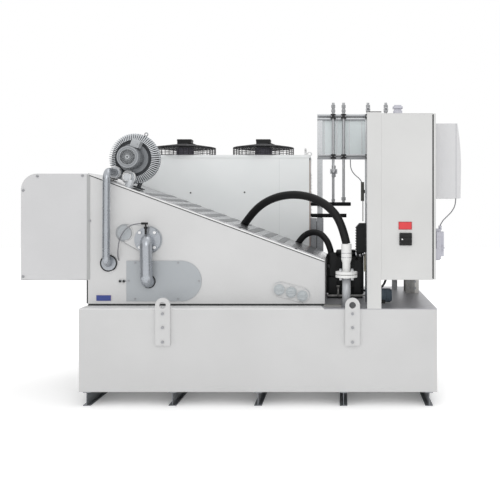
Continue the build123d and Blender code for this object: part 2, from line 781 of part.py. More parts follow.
connector_x, connector_y, connector_low, connector_high = 790, 510, 1489, 1659
with BuildPart() as inline_connector:
    with Locations((connector_x, connector_y, (connector_low + connector_high) / 2)):
        Cylinder(15, connector_high - connector_low)
        Box(42, 20, 30, align=(Align.MIN, Align.CENTER, Align.CENTER))
    with Locations((connector_x + 4, connector_y, connector_low - 90)):
        Cylinder(4, 182)
    split(bisect_by=Plane.YZ.offset(812 - seam), keep=Keep.BOTTOM)
save(inline_connector, "inline_connector")

flange_x, flange_front_y, flange_z, hose_start = 638, -600, 934, 1160
with BuildPart() as flanged_pipe:
    with Locations((flange_x, flange_front_y, (tank_top + flange_z - 21) / 2)):
        Cylinder(30, flange_z - 21 - tank_top)
    for low, high, radius in ((flange_z - 21, flange_z - 2, 80), (flange_z - 2, flange_z + 2, 72),
                              (flange_z + 2, flange_z + 21, 80)):
        with Locations((flange_x, flange_front_y, (low + high) / 2)):
            Cylinder(radius, high - low)
    for side in (flange_z - 27, flange_z + 27):
        with BuildSketch(Plane.XY.offset(side - 6)):
            with Locations((flange_x, flange_front_y)):
                with PolarLocations(60, 4, start_angle=45):
                    RegularPolygon(10, 6)
        extrude(amount=12)
    with Locations((flange_x, flange_front_y, 985)):
        Cylinder(29, 62)
    with BuildSketch(Plane.XZ.offset(-flange_front_y)):
        with BuildLine():
            Polyline((flange_x, 1016), (flange_x + 29, 1016), (flange_x + 38, 1045),
                     (flange_x + 38, hose_start), (flange_x, hose_start), close=True)
        make_face()
    revolve(axis=Axis((flange_x, flange_front_y, 0), (0, 0, 1)))
save(flanged_pipe, "flanged_pipe")

hose_points = [
    (flange_x, flange_front_y, hose_start), (604, -594, 1313), (513, -553, 1434),
    (390, -487, 1505), (256, -409, 1531), (121, -326, 1520), (-4, -243, 1473),
    (-109, -158, 1392), (-176, -92, 1308)]
free_hose("large_hose", hose_points, hose_diameter)

foot_axis = Vector(*hose_points[-1]) - Vector(*hose_points[-2])
return_axis = Vector(-0.62, 0.15, -0.77)
return_start = Vector(248, 140, 1146)
return_radius = 26
lid_top = seam * 2 + roof_thickness + lid_thickness
with BuildPart() as hose_fittings:
    for origin, axis, radius in ((Vector(*hose_points[-1]), foot_axis, hose_diameter / 2),
                                 (return_start, return_axis, return_radius)):
        with BuildSketch(Plane(origin=origin, z_dir=axis)):
            Circle(radius)
        extrude(amount=150)
    split(bisect_by=roof_plane.offset(lid_top), keep=Keep.TOP)
    with Locations((524, 0, 948)):
        Cylinder(33, 30)
    with Locations((524, 0, 897)):
        Cylinder(24, 70)
save(hose_fittings, "hose_fittings")

return_points = [tuple(return_start), (281, 132, 1187), (325, 118, 1216), (379, 96, 1226),
                 (436, 66, 1208), (486, 30, 1152), (513, 8, 1076), (524, 0, 1010),
                 (524, 0, 963)]
with BuildPart() as return_pipe:
    pipe(return_points, hose_bends(return_points), return_radius)
save(return_pipe, "return_pipe")

# ---- free cables --------------------------------------------------------
sensor_points = [
    (sensor_x - 29, sensor_y, sensor_head), (-912, -640, 1309), (-955, -638, 1294),
    (-992, -634, 1266), (-1019, -630, 1231), (-1036, -626, 1190), (-1045, -622, 1146),
    (-1050, -618, 1102), (-1052, -610, 1066), (-1052, -592, 1044), (-1052, -581, 1036)]
free_hose("sensor_cable", sensor_points, 8)

cooler_points = [
    (1454, -560, unit_z[0]), (1453, -560, 1462), (1441, -560, 1424), (1416, -561, 1388),
    (1383, -562, 1357), (1353, -562, 1327), (gland[0], gland[1], 1294)]
free_hose("cooler_cable", cooler_points, 8)

level_points = [
    (682, 512, rails[0][0]), (682, 512, 1818), (687, 512, 1779), (704, 511, 1744),
    (731, 511, 1716), (760, 510, 1692), (connector_x - 8, connector_y, connector_high + 6),
    (connector_x, connector_y, connector_high - 25)]
free_hose("level_cable", level_points, 8)

power_points = [
    (960, -180, cabinet_base), (960, -180, 862), (938, -168, 806), (892, -150, 764),
    (838, -118, 748), (796, -84, 752), (760, -50, 764)]
free_hose("power_cable", power_points, 18)
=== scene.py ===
"""Looks of a coolant filtration unit: a belt filter on a skid-mounted tank, with its
side-channel blower, two-fan chiller, control cabinet, transfer pump, hoses and risers."""

from math import cos, pi, radians, sin, tan

import bmesh
import bpy
from mathutils import Matrix, Vector


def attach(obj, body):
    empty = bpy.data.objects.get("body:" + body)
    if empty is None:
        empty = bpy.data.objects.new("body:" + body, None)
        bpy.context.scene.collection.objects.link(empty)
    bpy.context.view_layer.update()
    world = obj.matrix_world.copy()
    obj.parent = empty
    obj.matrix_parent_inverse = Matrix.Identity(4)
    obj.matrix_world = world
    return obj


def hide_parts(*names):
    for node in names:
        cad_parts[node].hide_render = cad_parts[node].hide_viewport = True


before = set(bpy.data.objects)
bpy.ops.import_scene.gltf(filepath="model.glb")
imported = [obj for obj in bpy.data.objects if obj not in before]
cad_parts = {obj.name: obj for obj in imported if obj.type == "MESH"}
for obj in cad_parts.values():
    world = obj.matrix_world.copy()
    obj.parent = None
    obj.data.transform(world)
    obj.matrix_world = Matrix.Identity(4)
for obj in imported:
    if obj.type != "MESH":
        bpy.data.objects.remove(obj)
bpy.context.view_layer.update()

# ---- room, light and camera ----------------------------------------------
# A pale seamless floor in a bright white room, with two large soft boxes and a
# black cloth each side, seen only as dark edges in the pipes' gloss.
# The camera stands low and level, in front of the tank's right half.
def linear(code):
    """An sRGB hex colour as linear RGBA."""
    channels = [int(code[i:i + 2], 16) / 255 for i in (0, 2, 4)]
    return (*[c / 12.92 if c <= 0.04045 else ((c + 0.055) / 1.055) ** 2.4 for c in channels], 1)


def put(material, kind, values=(), links=(), **settings):
    """Adds one node, with its settings, its values and what feeds its sockets."""
    node = material.node_tree.nodes.new(kind)
    for name, value in settings.items():
        setattr(node, name, value)
    for socket, value in values:
        node.inputs[socket].default_value = value
    for socket, output in links:
        material.node_tree.links.new(output, node.inputs[socket])
    return node


def finish_base(name, roughness, metallic=0.0, **more):
    """An empty material with its shader, wired to the output, and object coordinates."""
    material = bpy.data.materials.new(name)
    material.use_nodes = True
    material.node_tree.nodes.clear()
    shader = put(material, "ShaderNodeBsdfPrincipled",
                 values=[("Roughness", roughness), ("Metallic", metallic), *more.items()])
    put(material, "ShaderNodeOutputMaterial", links=[("Surface", shader.outputs[0])])
    place = put(material, "ShaderNodeTexCoord").outputs["Object"]
    return material, shader, place


camera = bpy.data.objects.new("camera", bpy.data.cameras.new("camera"))
bpy.context.collection.objects.link(camera)
camera.location = (0.598, -5.95, 1.418)
camera.rotation_euler = (radians(90), 0, 0)
camera.data.sensor_width = 36
camera.data.lens = 52.0
camera.data.shift_x, camera.data.shift_y = -0.182, -0.082
camera.data.clip_end = 60
bpy.context.scene.camera = camera
bpy.context.scene.view_settings.view_transform = "Standard"

world = bpy.data.worlds.new("white room")
world.use_nodes = True
world.node_tree.nodes["Background"].inputs["Color"].default_value = linear("ffffff")
world.node_tree.nodes["Background"].inputs["Strength"].default_value = 1.0
bpy.context.scene.world = world


def soft_box(name, place, target, size, watts):
    """A large square studio light that faces a point."""
    light = bpy.data.objects.new(name, bpy.data.lights.new(name, "AREA"))
    light.data.size, light.data.energy = size, watts
    light.location = place
    light.rotation_euler = (Vector(target) - Vector(place)).to_track_quat("-Z", "Y").to_euler()
    bpy.context.collection.objects.link(light)


soft_box("key light", (1.2, -6.5, 4.5), (0, 0, 0.9), 3.5, 85)
soft_box("top light", (1.0, 0.8, 6.5), (0, 0, 1.0), 4.0, 60)

# White paper with a faint grain that keeps the floor from looking flat.
backdrop, backdrop_shader, place = finish_base(
    "studio paper", 0.9, **{"Emission Color": linear("ffffff"), "Emission Strength": 0.12})
grain = put(backdrop, "ShaderNodeTexNoise", values=[("Scale", 3)], links=[("Vector", place)])
tint = put(backdrop, "ShaderNodeValToRGB", links=[("Fac", grain.outputs["Fac"])])
tint.color_ramp.elements[0].color = linear("fcfcfc")
tint.color_ramp.elements[1].color = linear("ffffff")
backdrop.node_tree.links.new(tint.outputs[0], backdrop_shader.inputs["Base Color"])
bpy.ops.mesh.primitive_plane_add(size=40, location=(0, 0, 0))
floor = bpy.context.object
floor.name = "studio_floor"
floor.data.materials.append(backdrop)
# Matt wool cloth: two near blacks, only ever seen as a reflection.
cloth, cloth_shader, place = finish_base("black studio cloth", 0.95)
grain = put(cloth, "ShaderNodeTexNoise", values=[("Scale", 40)], links=[("Vector", place)])
tint = put(cloth, "ShaderNodeValToRGB", links=[("Fac", grain.outputs["Fac"])])
tint.color_ramp.elements[0].color = linear("303030")
tint.color_ramp.elements[1].color = linear("3c3c3c")
cloth.node_tree.links.new(tint.outputs[0], cloth_shader.inputs["Base Color"])
for side in (-4.4, 4.4):
    bpy.ops.mesh.primitive_plane_add(size=1, location=(side, -1.6, 1.5), rotation=(0, radians(90), 0))
    flag = bpy.context.object
    flag.scale = (3.0, 4.6, 1)
    flag.data.materials.append(cloth)
    flag.visible_camera = flag.visible_diffuse = flag.visible_shadow = False


# ---- skids ------------------------------------------------------------------
# Five rolled I-beams across the tank, hot-dip galvanised: their zinc is a
# patchwork of dull crystals about 12 mm across, each a slightly different grey.
def wear(material, *nodes):
    """Gives a finish to CAD nodes."""
    for name in nodes:
        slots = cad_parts[name].data.materials
        slots.clear()
        slots.append(material)


def galvanised_steel(name, dark, light, spangle=0.012):
    """Hot-dip zinc; spangle is the size of one crystal in metres."""
    material, shader, place = finish_base(name, 0.45, 0.75)
    crystal = put(material, "ShaderNodeTexVoronoi", values=[("Scale", 1 / spangle)],
                  links=[("Vector", place)])
    tint = put(material, "ShaderNodeValToRGB", links=[("Fac", crystal.outputs["Color"])])
    tint.color_ramp.elements[0].color = linear(dark)
    tint.color_ramp.elements[1].color = linear(light)
    material.node_tree.links.new(tint.outputs[0], shader.inputs["Base Color"])
    gloss = put(material, "ShaderNodeMapRange", values=[("To Min", 0.36), ("To Max", 0.58)],
                links=[("Value", crystal.outputs["Color"])])
    material.node_tree.links.new(gloss.outputs[0], shader.inputs["Roughness"])
    return material


skid_zinc = galvanised_steel("hot-dip galvanised skid", "6f7276", "8a8d91")
wear(skid_zinc, "skid_beams")


# ---- tank ---------------------------------------------------------------------
# A welded sheet-steel box in light grey polyester powder coat, baked on. Its
# lifting lugs are thick plates in the same coat, held by three screws each, and
# two bolted hatches and a drain plug close its back.
def powder_coat(name, code, shade, roughness=0.42, peel=0.006):
    """Baked coat: satin gloss, slow patches of two close greys and a faint orange peel.

    The peel's size is in metres, and coarser than the real 2 mm so that it shows."""
    patches_per_metre = 1.7
    material, shader, place = finish_base(name, roughness)
    cloud = put(material, "ShaderNodeTexNoise", values=[("Scale", patches_per_metre), ("Detail", 3)],
                links=[("Vector", place)])
    tint = put(material, "ShaderNodeValToRGB", links=[("Fac", cloud.outputs["Fac"])])
    tint.color_ramp.elements[0].position, tint.color_ramp.elements[1].position = 0.35, 0.65
    tint.color_ramp.elements[0].color = linear(shade)
    tint.color_ramp.elements[1].color = linear(code)
    material.node_tree.links.new(tint.outputs[0], shader.inputs["Base Color"])
    ripple = put(material, "ShaderNodeTexNoise", values=[("Scale", 1 / peel), ("Detail", 2)],
                 links=[("Vector", place)])
    bump = put(material, "ShaderNodeBump", values=[("Strength", 0.06), ("Distance", 0.0005)],
               links=[("Height", ripple.outputs["Fac"])])
    material.node_tree.links.new(bump.outputs[0], shader.inputs["Normal"])
    return material


def add_box(shape, low, high, edge=0.001):
    """A box between two corners, in metres, with its edges broken."""
    corners = bmesh.ops.create_cube(shape, size=1)["verts"]
    for corner in corners:
        corner.co = [a + (c + 0.5) * (b - a) for c, a, b in zip(corner.co, low, high)]
    if edge:
        sides = {side for corner in corners for side in corner.link_edges}
        bmesh.ops.bevel(shape, geom=list(sides), offset=edge, segments=2, affect="EDGES")


def add_rod(shape, start, end, radius, far_radius=None, sides=32):
    """A round bar, cone, or with six sides a hexagon, between two points."""
    start, end = Vector(start), Vector(end)
    turn = (end - start).to_track_quat("Z", "Y").to_matrix().to_4x4()
    corners = bmesh.ops.create_cone(
        shape, cap_ends=True, segments=sides, radius1=radius,
        radius2=radius if far_radius is None else far_radius, depth=(end - start).length,
        matrix=Matrix.Translation((start + end) / 2) @ turn)["verts"]
    for face in {face for corner in corners for face in corner.link_faces}:
        face.smooth = sides > 8 and len(face.verts) == 4


def make(name, shape, material, body="machine", stands_for=()):
    """Turns a finished shape into a named piece that moves with a body."""
    mesh = bpy.data.meshes.new(name)
    shape.to_mesh(mesh)
    shape.free()
    piece = bpy.data.objects.new(name, mesh)
    bpy.context.collection.objects.link(piece)
    mesh.materials.append(material)
    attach(piece, body)
    if stands_for:
        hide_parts(*stands_for)


tank_paint = powder_coat("light grey powder coat, tank", "c0c0c0", "bbbbbb")
wear(tank_paint, "tank_shell", "lifting_lugs")
# The tank top plate wears the tank's coat drawn lighter: painted light from above on a level face.
wear(powder_coat("light grey powder coat, tank top", "dcdcdc", "d6d6d6"), "tank_top_plate")
bolt_zinc = galvanised_steel("zinc-plated bolts", "8e8f92", "a8a9ac", 0.004)
wear(bolt_zinc, "screws")

tank_back = 0.75
hatch_lefts, hatch_width = (-0.95, 0.15), 0.62
hatch = bmesh.new()
for left in hatch_lefts:
    add_box(hatch, (left, tank_back + 0.0005, 0.22), (left + hatch_width, tank_back + 0.0055, 0.6))
make("tank_clean_out_hatches", hatch, tank_paint)
hatch_bolts = bmesh.new()
for left in hatch_lefts:
    for step in range(6):
        for height in (0.245, 0.575):
            across = left + 0.035 + step * 0.11
            add_rod(hatch_bolts, (across, tank_back + 0.0055, height),
                    (across, tank_back + 0.013, height), 0.008, sides=6)
add_rod(hatch_bolts, (-1.15, tank_back, 0.15), (-1.15, tank_back + 0.018, 0.15), 0.024, sides=6)
make("hatch_bolts_and_drain_plug", hatch_bolts, bolt_zinc)


# ---- service deck ---------------------------------------------------------------
# Brushed stainless sheet over the right end of the tank, with its grain along
# the tank; it mirrors what stands on it as soft streaks.
def brushed_stainless(name, dark, light, stretch, roughness, metallic=0.9):
    """Stainless steel with bright and dull grain lines.

    Stretch is grain lines per metre along x, y and z; a real grain is too fine to
    show, so the lines are drawn 4 to 8 mm apart."""
    material, shader, place = finish_base(name, roughness, metallic)
    along = put(material, "ShaderNodeMapping", values=[("Scale", stretch)], links=[("Vector", place)])
    grain = put(material, "ShaderNodeTexNoise", values=[("Scale", 1), ("Detail", 4)],
                links=[("Vector", along.outputs[0])])
    tint = put(material, "ShaderNodeValToRGB", links=[("Fac", grain.outputs["Fac"])])
    tint.color_ramp.elements[0].position, tint.color_ramp.elements[1].position = 0.3, 0.7
    tint.color_ramp.elements[0].color = linear(dark)
    tint.color_ramp.elements[1].color = linear(light)
    material.node_tree.links.new(tint.outputs[0], shader.inputs["Base Color"])
    bump = put(material, "ShaderNodeBump", values=[("Strength", 0.12), ("Distance", 0.001)],
               links=[("Height", grain.outputs["Fac"])])
    material.node_tree.links.new(bump.outputs[0], shader.inputs["Normal"])
    return material


deck_steel = brushed_stainless("brushed stainless deck", "98989c", "bcbcc0", (6, 220, 220), 0.4, 0.65)
wear(deck_steel, "service_deck")


# ---- filter housing ---------------------------------------------------------------
# Folded sheet in a light grey coat on a black rubber seal. Its sloping roof is
# cold-rolled stainless, streaked down the slope, with three lids crossed by
# shallow slats and a pressed edge strip each side.
def moulded(name, code, shade, roughness, metallic=0.0, cloud_size=0.08, shine=0.5):
    """Enamel, plastic, rubber or cast metal: two close tones and an uneven gloss.

    The size of one cloud of tone is in metres."""
    material, shader, place = finish_base(name, roughness, metallic, **{"Specular IOR Level": shine})
    cloud = put(material, "ShaderNodeTexNoise", values=[("Scale", 1 / cloud_size), ("Detail", 4)],
                links=[("Vector", place)])
    tint = put(material, "ShaderNodeValToRGB", links=[("Fac", cloud.outputs["Fac"])])
    tint.color_ramp.elements[0].color = linear(shade)
    tint.color_ramp.elements[1].color = linear(code)
    material.node_tree.links.new(tint.outputs[0], shader.inputs["Base Color"])
    gloss = put(material, "ShaderNodeMapRange",
                values=[("To Min", roughness - 0.05), ("To Max", roughness + 0.07)],
                links=[("Value", cloud.outputs["Fac"])])
    material.node_tree.links.new(gloss.outputs[0], shader.inputs["Roughness"])
    return material


housing_paint = powder_coat("light grey powder coat, housing", "c4c4c4", "bfbfbf")
roof_steel = brushed_stainless("cold-rolled stainless roof", "b2b2b4", "d0d0d2", (7, 160, 7), 0.24)
trim_steel = brushed_stainless("pressed stainless edge strip", "d2d2d2", "e6e6e6", (9, 120, 120), 0.4)
black_rubber = moulded("black sealing rubber", "222424", "191b1c", 0.6)
wear(housing_paint, "filter_housing")
wear(roof_steel, "slope_cover")
wear(trim_steel, "housing_trim")
wear(black_rubber, "housing_seal")

slope = radians(20.2)
roof_edge = (-1.282, 1.681)
roof_right = 0.477


def down_roof(x):
    """Height of the roof edge at x."""
    return roof_edge[1] - tan(slope) * (x - roof_edge[0])


def add_part(whole, part):
    """Adds a finished part to a larger shape."""
    spare = bpy.data.meshes.new("spare")
    part.to_mesh(spare)
    whole.from_mesh(spare)
    part.free()
    bpy.data.meshes.remove(spare)


roof_middle = -0.1655
roof_frame = (Matrix.Translation((roof_edge[0], roof_middle, roof_edge[1]))
              @ Matrix.Rotation(slope, 4, "Y"))
first_slat, slat_step, slat_width, slat_reach = 0.447, 0.1155, 0.052, 0.386
slats = bmesh.new()
for step in range(12):
    start = first_slat + step * slat_step
    add_box(slats, (start, -slat_reach, 0.0112), (start + slat_width, slat_reach, 0.0130), 0.0006)
slats.transform(roof_frame)
# The slats are the same steel drawn darker, as painted shade, so they read as darker bands.
slat_steel = brushed_stainless("shaded stainless slat", "6c6c6f", "8a8a8d", (7, 160, 7), 0.3)
make("roof_cover_slats", slats, slat_steel)

# Black strips just under the roof's edge trim, in the black rubber, are painted shadow below the
# trim.
shadow_strip_left = roof_edge[0] + 0.012
shadow_strip_middle = (shadow_strip_left + roof_right) / 2
shadow_strip_run = (roof_right - shadow_strip_left) / cos(slope)
edge_shadow_strips = bmesh.new()
for wall in (-0.5855, 0.2545):
    strip = bmesh.new()
    add_box(strip, (-shadow_strip_run / 2, -0.001, -0.0028), (shadow_strip_run / 2, 0.001, 0.0028), 0)
    strip.transform(Matrix.Translation((shadow_strip_middle, wall, down_roof(shadow_strip_middle) - 0.0090))
                    @ Matrix.Rotation(slope, 4, "Y"))
    add_part(edge_shadow_strips, strip)
make("roof_edge_shadow_strips", edge_shadow_strips, black_rubber)

corner_seal = bmesh.new()
add_box(corner_seal, (-1.2925, -0.583, 0.716), (-1.2825, -0.57, 0.892), 0.001)
make("hood_corner_seal", corner_seal, black_rubber)
# A folded flange at the hood's joint, drawn mid grey as painted shade.
flange_shade_strip = bmesh.new()
add_box(flange_shade_strip, (-1.2900, -0.5865, 0.893), (-1.2665, -0.5845, 1.672), 0.0005)
painted_shade_grey = moulded("grey painted shade strip", "a5a6a6", "9a9b9b", 0.6)
make("hood_flange_shade_strip", flange_shade_strip, painted_shade_grey)


# ---- covers and ports on the front wall ---------------------------------------------
# A satin grey sheet cover over the belt drive, a plate with three moulded
# screw caps, and the cast base of the suction flange with its round cover.
def around(step, count):
    """Level unit direction number step of count evenly spaced ones."""
    angle = 2 * pi * step / count
    return Vector((cos(angle), sin(angle), 0))


def add_ring(shape, centre, axis, radius, wire, sides=64):
    """A ring of round wire about an axis."""
    turn = Vector(axis).to_track_quat("Z", "Y").to_matrix()
    grid = []
    for i in range(sides):
        out = around(i, sides)
        grid.append([shape.verts.new(Vector(centre) + turn @ (
            out * (radius + wire * cos(pi * j / 4)) + Vector((0, 0, wire * sin(pi * j / 4)))))
            for j in range(8)])
    for i in range(sides):
        here, there = grid[i], grid[(i + 1) % sides]
        for j in range(8):
            shape.faces.new((here[j], there[j], there[(j + 1) % 8], here[(j + 1) % 8])).smooth = True


# Satin enamel without any texture, and moulded plastic caps that are a little
# bluer and paler than the plate.
plate_enamel = moulded("satin grey plate", "a4a8ab", "9fa3a7", 0.45, 0.15)
cap_plastic = moulded("moulded grey cap", "b3b8ba", "a6abae", 0.45)
wear(plate_enamel, "cover_plates")
wear(cap_plastic, "port_caps")

port_centres = ((0.140, 0.820), (0.229, 0.801), (0.312, 0.774))
port_tilt = radians(15)
port_face, base_face, cap_face = -0.5890, -0.5920, -0.607


def on_port_plate(along, across, front):
    """A point from the middle of the tilted port plate."""
    middle, height = port_centres[1]
    return (middle + along * cos(port_tilt) + across * sin(port_tilt), front,
            height - along * sin(port_tilt) + across * cos(port_tilt))


cap_grips = bmesh.new()
for across, up in port_centres:
    add_ring(cap_grips, (across, cap_face, up), (0, 1, 0), 0.031, 0.0025)
    add_box(cap_grips, (across - 0.024, cap_face - 0.008, up - 0.005),
            (across + 0.024, cap_face, up + 0.005), 0.002)
make("port_cap_grips", cap_grips, cap_plastic)

port_corners = ((-0.089, -0.052), (0.089, -0.052), (0.089, 0.052), (-0.089, 0.052))
base_outline = ((-1.010, 1.172), (-0.866, 1.089), (-0.818, 1.290), (-0.985, 1.301))
plates = bmesh.new()
for across, up in (port_centres[0], port_centres[2]):
    add_rod(plates, (across, port_face + 0.0004, up), (across, port_face + 0.0001, up), 0.052,
            sides=64)
plates.faces.new([plates.verts.new(on_port_plate(*corner, port_face)) for corner in port_corners])
plates.faces.new([plates.verts.new((across, base_face, up)) for across, up in base_outline])
make("light_plate_faces", plates, housing_paint)

base_cover = (-1.007, 1.240)
# Dark lines under the lower edges of the suction base and the port plate, and rings round the base
# and its cover, are painted shadow.
shadow_lines = bmesh.new()
add_rod(shadow_lines, (-1.012, base_face + 0.0008, 1.170), (-0.866, base_face + 0.0008, 1.087), 0.0022,
        sides=8)
add_rod(shadow_lines, (0.145, port_face, 0.7685), (0.316, port_face, 0.7215), 0.0022, sides=8)
for radius, front in ((0.0645, base_face + 0.0005), (0.0530, base_face - 0.0085)):
    add_ring(shadow_lines, (base_cover[0], front, base_cover[1]), (0, 1, 0), radius, 0.0013)
make("plate_edge_shadows", shadow_lines, painted_shade_grey)

rim_start, rim_step, rim_count, rim_offset = -0.095, 0.0158, 12, 0.053
port_rim = bmesh.new()
for side in (-rim_offset, rim_offset):
    for step in range(rim_count):
        add_rod(port_rim, on_port_plate(rim_start + step * rim_step, side, port_face - 0.0005),
                on_port_plate(rim_start + (step + 1) * rim_step, side, port_face - 0.0005),
                0.0035, sides=8)
make("port_plate_rim", port_rim, housing_paint)

dark_gap = bmesh.new()
add_ring(dark_gap, (-1.127, -0.5935, 1.016), (0, 1, 0), 0.0585, 0.0045)
add_ring(dark_gap, (-0.829, -0.591, 0.881), (0, 1, 0), 0.0478, 0.0040)
for across in (-1.040, -1.012):
    add_rod(dark_gap, (across, -0.599, 0.883), (across, -0.601, 0.883), 0.0095)
make("pipe_gaskets_and_sockets", dark_gap, black_rubber)


# ---- discharge hood -------------------------------------------------------------------
# The same coated sheet folded into a chute, open below, with a rolled hem along
# its lower edges and flat-headed screws up its sides.
hood_paint = powder_coat("light grey powder coat, hood", "c3c3c4", "bebebf")
wear(hood_paint, "discharge_hood")
hem = bmesh.new()
for across in (-0.5815, 0.2505):
    add_rod(hem, (-1.778, across, 0.893), (-1.284, across, 0.893), 0.004, sides=16)
make("hood_hem", hem, hood_paint)


# ---- filter belt and drums ----------------------------------------------------------
# An endless woven belt round two bright ground steel drums, in cast bearing
# blocks inside the housing. Its threads are too fine to show, so the weave is
# drawn as a 6 mm mottle.
belt_weave = moulded("woven filter belt", "a6a69c", "7c7c74", 0.8, 0.0, 0.006)
cast_iron = moulded("painted cast iron", "4c4f53", "3e4145", 0.6, 0.2)
ground_steel = moulded("ground steel shaft", "b0b0b2", "9a9a9c", 0.3, 0.95)
wear(belt_weave, "filter_belt")
wear(cast_iron, "shaft_bearings")
wear(ground_steel, "drive_shaft", "tail_shaft")


# ---- suction pipe and blower pipe ----------------------------------------------------
# Steel pipe in silver-grey enamel with long soft highlights; the suction pipe
# has a bolted flange and a small black vacuum sensor on its elbow.
# The enamel holds metal flake, which stretches its highlights along the pipe.
pipe_enamel = moulded("silver grey enamel", "aaaeb3", "a0a4aa", 0.27, 0.65)
black_plastic = moulded("moulded black plastic", "161617", "101011", 0.5, shine=0.35)
wear(pipe_enamel, "suction_pipe", "blower_pipe")
wear(black_plastic, "vacuum_sensor")
suction_centre, suction_bolt_circle = (-0.834, 1.189), 0.0775
flange_nuts = bmesh.new()
for quarter in range(4):
    angle = radians(45 + 90 * quarter)
    across = suction_centre[0] + suction_bolt_circle * cos(angle)
    up = suction_centre[1] + suction_bolt_circle * sin(angle)
    add_rod(flange_nuts, (across, -0.618, up), (across, -0.622, up), 0.011, sides=16)
white_zinc = galvanised_steel("bright zinc nuts", "d6d6d6", "ececec", 0.004)
make("flange_nut_faces", flange_nuts, white_zinc)


# ---- side channel blower ----------------------------------------------------------------
# A die-cast aluminium ring with deep cooling fins, square to the slope, and a
# finned motor behind a pressed cowl; its mouth and its silencer point forward.
# The cast skin is pale, dull and slightly mottled on the fins' edges; down
# between the fins it lies in shade and reads almost black.
cast_alloy = moulded("die-cast aluminium fins", "d4d7da", "c4c7ca", 0.42, 0.3, 0.03)
dark_alloy = moulded("shaded cast aluminium", "3d4043", "2c2e31", 0.6, 0.4, 0.02)
motor_enamel = moulded("grey motor enamel", "8d9093", "7d8084", 0.42, 0.3)
cowl_enamel = moulded("pale motor cowl enamel", "b3b6b8", "a4a7aa", 0.4, 0.3)
blower_x, blower_z = -0.992, 1.806
blower_frame = Matrix.Translation((blower_x, 0, blower_z)) @ Matrix.Rotation(slope, 4, "Y")
foot_drop = (blower_z - down_roof(blower_x)) * cos(slope)
wear(dark_alloy, "blower_rotor")
wear(cast_alloy, "blower_silencer")
wear(motor_enamel, "blower_motor")
wear(cowl_enamel, "blower_terminal_box")

fin_count, fin_sweep = 70, 0.026
ring = bmesh.new()
for fin in range(fin_count):
    blade = bmesh.new()
    add_box(blade, (0.140, -0.428, -0.0032), (0.193, -0.345, 0.0032), 0.001)
    for corner in blade.verts:
        if corner.co.y < -0.39:
            corner.co.y += fin_sweep * max(0, (corner.co.x - 0.150) / 0.04) ** 2
    blade.transform(Matrix.Rotation(2 * pi * fin / fin_count, 4, "Y"))
    add_part(ring, blade)
add_ring(ring, (0, -0.341, 0), (0, 1, 0), 0.181, 0.0050)
add_ring(ring, (0, -0.410, 0), (0, 1, 0), 0.139, 0.004)
for across, up in ((-0.086, -0.148), (0.027, -0.146)):
    add_rod(ring, (across, -0.290, up), (across, -0.440, up), 0.046)
ring.transform(blower_frame)
make("blower_fin_ring", ring, cast_alloy, stands_for=["blower_casing"])

core = bmesh.new()
add_rod(core, (0, -0.290, 0), (0, -0.346, 0), 0.178, sides=64)
add_rod(core, (0, -0.346, 0), (0, -0.384, 0), 0.176, sides=64)
add_rod(core, (0, -0.384, 0), (0, -0.414, 0), 0.176, 0.146, sides=64)
add_rod(core, (0, -0.360, 0), (0, -0.398, 0), 0.142, sides=64)
core_ribs = 36
for rib in range(core_ribs):
    angle = 2 * pi * rib / core_ribs
    add_rod(core, (0.116 * cos(angle), -0.399, 0.116 * sin(angle)),
            (0.137 * cos(angle), -0.399, 0.137 * sin(angle)), 0.0025, sides=6)
for across in (0.095, -0.130):
    add_box(core, (across - 0.040, -0.390, -foot_drop + 0.010),
            (across + 0.040, -0.300, -foot_drop + 0.018))
    add_box(core, (across - 0.005, -0.390, -foot_drop + 0.012),
            (across + 0.005, -0.300, -foot_drop + 0.075))
core.transform(blower_frame)
make("blower_core_and_feet", core, dark_alloy)

cowl = bmesh.new()
add_ring(cowl, (0, -0.571, 0), (0, 1, 0), 0.0765, 0.0045)
add_ring(cowl, (0, -0.576, 0), (0, 1, 0), 0.059, 0.0022)
add_rod(cowl, (0, -0.575, 0), (0, -0.582, 0), 0.015)
cowl_spokes = 30
for spoke in range(cowl_spokes):
    angle = 2 * pi * spoke / cowl_spokes
    add_rod(cowl, (0.015 * cos(angle), -0.5765, 0.015 * sin(angle)),
            (0.058 * cos(angle), -0.5765, 0.058 * sin(angle)), 0.0013, sides=6)
cowl.transform(blower_frame)
make("motor_cowl_grille", cowl, cowl_enamel)

cowl_face = bmesh.new()
add_rod(cowl_face, (0, -0.5751, 0), (0, -0.5758, 0), 0.0580, sides=48)
add_rod(cowl_face, (0, -0.582, 0), (0, -0.5835, 0), 0.006)
cowl_face.transform(blower_frame)
make("motor_cowl_openings", cowl_face, dark_alloy)

motor_ribs, motor_radius, box_sector = 40, 0.081, 0.8
ribs = bmesh.new()
for rib in range(motor_ribs):
    angle = 2 * pi * rib / motor_ribs
    if sin(angle) < box_sector:
        across, up = motor_radius * cos(angle), motor_radius * sin(angle)
        add_rod(ribs, (across, -0.428, up), (across, -0.517, up), 0.0018, sides=6)
ribs.transform(blower_frame)
make("motor_cooling_ribs", ribs, motor_enamel)

eye = bmesh.new()
add_ring(eye, (0.020, -0.385, 0.206), (0, 1, 0), 0.012, 0.004, 24)
add_rod(eye, (0.020, -0.385, 0.180), (0.020, -0.385, 0.196), 0.007)
add_rod(eye, (0.018, -0.512, 0.115), (0.018, -0.516, 0.115), 0.004)
eye.transform(blower_frame)
make("blower_lifting_eye", eye, bolt_zinc)

silencer_caps = bmesh.new()
add_ring(silencer_caps, (0.027, -0.458, -0.146), (0, 1, 0), 0.048, 0.005)
add_ring(silencer_caps, (0.027, -0.503, -0.146), (0, 1, 0), 0.030, 0.004)
add_ring(silencer_caps, (-0.086, -0.458, -0.148), (0, 1, 0), 0.043, 0.004)
silencer_caps.transform(blower_frame)
make("silencer_rims", silencer_caps, white_zinc)


